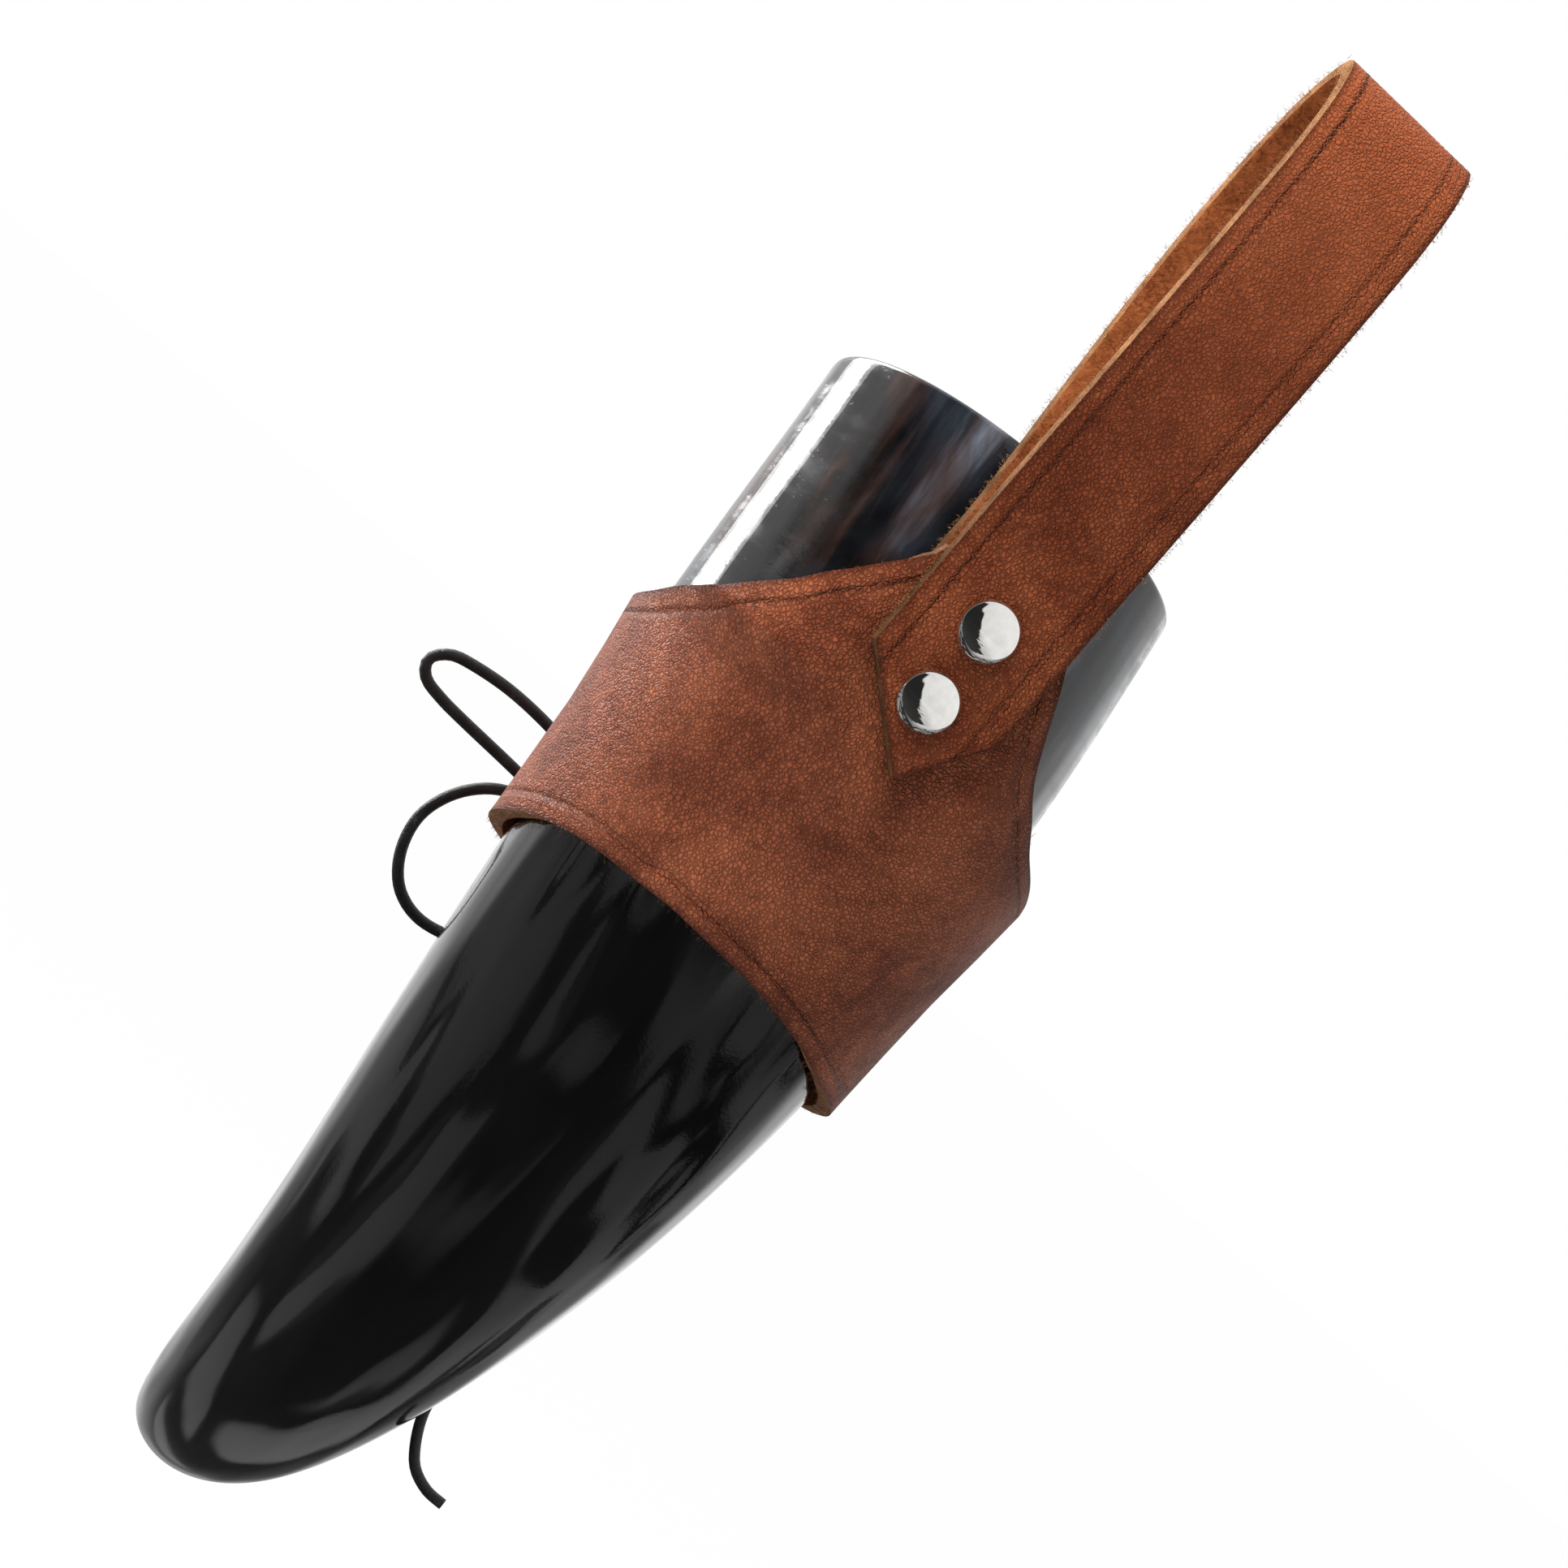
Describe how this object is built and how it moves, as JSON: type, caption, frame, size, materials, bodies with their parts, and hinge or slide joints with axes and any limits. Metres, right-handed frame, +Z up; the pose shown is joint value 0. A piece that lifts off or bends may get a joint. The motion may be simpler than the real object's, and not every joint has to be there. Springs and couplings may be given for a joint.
{
  "type": "drinking horn with belt holster",
  "caption": "Curved polished drinking horn seated in a laced leather sleeve with a riveted belt loop strap.",
  "frame": {"origin": "the inside top of the belt strap's fold, midway across the strap, where it hangs on a belt", "axes": "+Z up along the hanging strap, -Y out through the strap's riveted face, +Y towards the laced seam, X along the belt"},
  "size_m": [0.1015, 0.2252, 0.3085],
  "materials": {
    "horn": "polished",
    "sleeve_leather": "oiled full grain",
    "strap_leather": "oiled full grain",
    "rivet_metal": "mirror",
    "cord": "waxed round thong"
  },
  "bodies": {
    "holster": {"sleeve": "sleeve_leather", "belt_strap": "strap_leather", "rivet_cap_upper": "rivet_metal", "rivet_base_upper": "rivet_metal", "rivet_cap_lower": "rivet_metal", "rivet_base_lower": "rivet_metal", "lace": "cord", "lace_knot": "cord", "lace_loop_upper": "cord", "lace_loop_lower": "cord", "lace_tail_right": "cord", "lace_tail_left": "cord"},
    "horn": {"horn": "horn"}
  },
  "joints": [
    {"name": "horn_draw", "type": "hinge", "parent": "holster", "child": "horn", "pos_m": [0.01254, 0.23417, -0.10318], "axis": [-0.9942, 0.0523, -0.094], "range_deg": [0, 45]}
  ]
}
